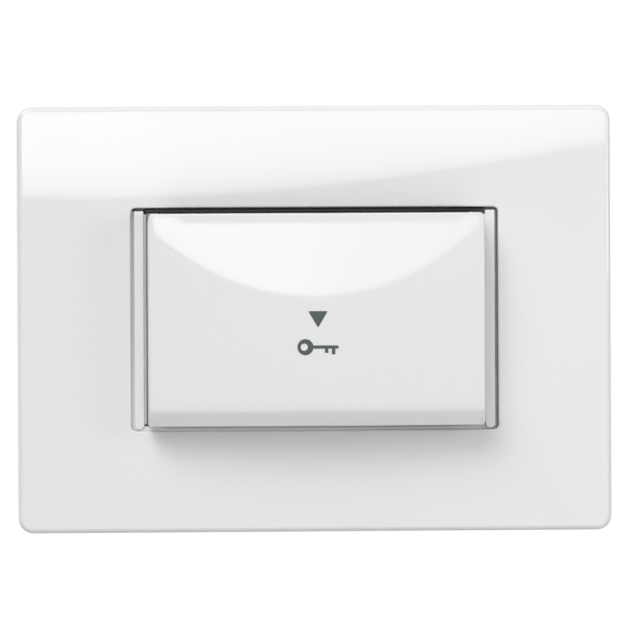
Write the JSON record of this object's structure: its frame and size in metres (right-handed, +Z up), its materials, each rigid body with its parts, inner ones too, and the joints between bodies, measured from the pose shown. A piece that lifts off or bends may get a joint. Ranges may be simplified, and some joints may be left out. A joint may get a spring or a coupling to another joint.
{
  "type": "key card switch",
  "caption": "Wall key card switch: white cover plate with a crowned card pocket, whose sprung lever works a changeover contact in the housing behind.",
  "frame": {"origin": "middle of the two fixing slots, on the plane where the plate and the mounting frame meet the wall", "axes": "+X to the right as seen from the room, +Y into the wall, +Z up; the front faces -Y"},
  "size_m": [0.12, 0.043, 0.086],
  "materials": {
    "white_gloss": "glossy moulded technopolymer, pure white",
    "support_grey": "fine-grained glass-filled moulding, light grey",
    "guide_black": "matt black moulding",
    "housing_grey": "satin moulding, pale grey",
    "lever_white": "self-lubricating acetal, natural white",
    "zinc_steel": "zinc plated steel",
    "spring_steel": "drawn spring wire",
    "switch_body": "dark grey phenolic moulding",
    "plunger_red": "red moulding",
    "brass": "plain brass",
    "bronze": "phosphor bronze strip",
    "contact_silver": "silver alloy contact faces",
    "copper": "copper strip"
  },
  "bodies": {
    "root": {"cover_plate": "white_gloss", "mounting_frame": "support_grey", "module_frame": "white_gloss", "card_guide": "guide_black", "pocket_cover": "white_gloss", "rear_housing": "housing_grey", "housing_screws": "zinc_steel", "pivot_pin": "zinc_steel", "lever_spring": "spring_steel", "microswitch_base": "switch_body", "microswitch_lid": "switch_body", "blade_spring": "spring_steel", "common_terminal": "brass", "open_terminal": "brass", "closed_terminal": "brass", "fixed_contacts": "contact_silver", "microswitch_screws": "zinc_steel", "terminal_blocks": "brass", "terminal_screws": "zinc_steel", "terminal_links": "copper"},
    "lever": {"card_lever": "lever_white"},
    "plunger": {"switch_plunger": "plunger_red"},
    "blade": {"contact_blade": "bronze", "moving_contact": "contact_silver"}
  },
  "joints": [
    {"name": "lever_pivot", "type": "hinge", "parent": "root", "child": "lever", "pos_m": [0, 0, 0.00775], "axis": [1, 0, 0], "range_deg": [0, 16], "stiffness_Nm_per_rad": 0.05, "springref_deg": -11.46, "deforming": ["lever_spring"]},
    {"name": "plunger_slide", "type": "slide", "parent": "root", "child": "plunger", "axis": [0, 1, 0], "range_m": [0, 0.0017]},
    {"name": "blade_pivot", "type": "hinge", "parent": "root", "child": "blade", "pos_m": [0.0105, 0.009, 0.00175], "axis": [0, 0, -1], "range_deg": [0, 7.1], "deforming": ["blade_spring"]}
  ],
  "couplings": [
    {"joint": "plunger_slide", "follows": "lever_pivot", "m_per_rad": 0.005937},
    {"joint": "blade_pivot", "follows": "lever_pivot", "ratio": 0.4408}
  ]
}
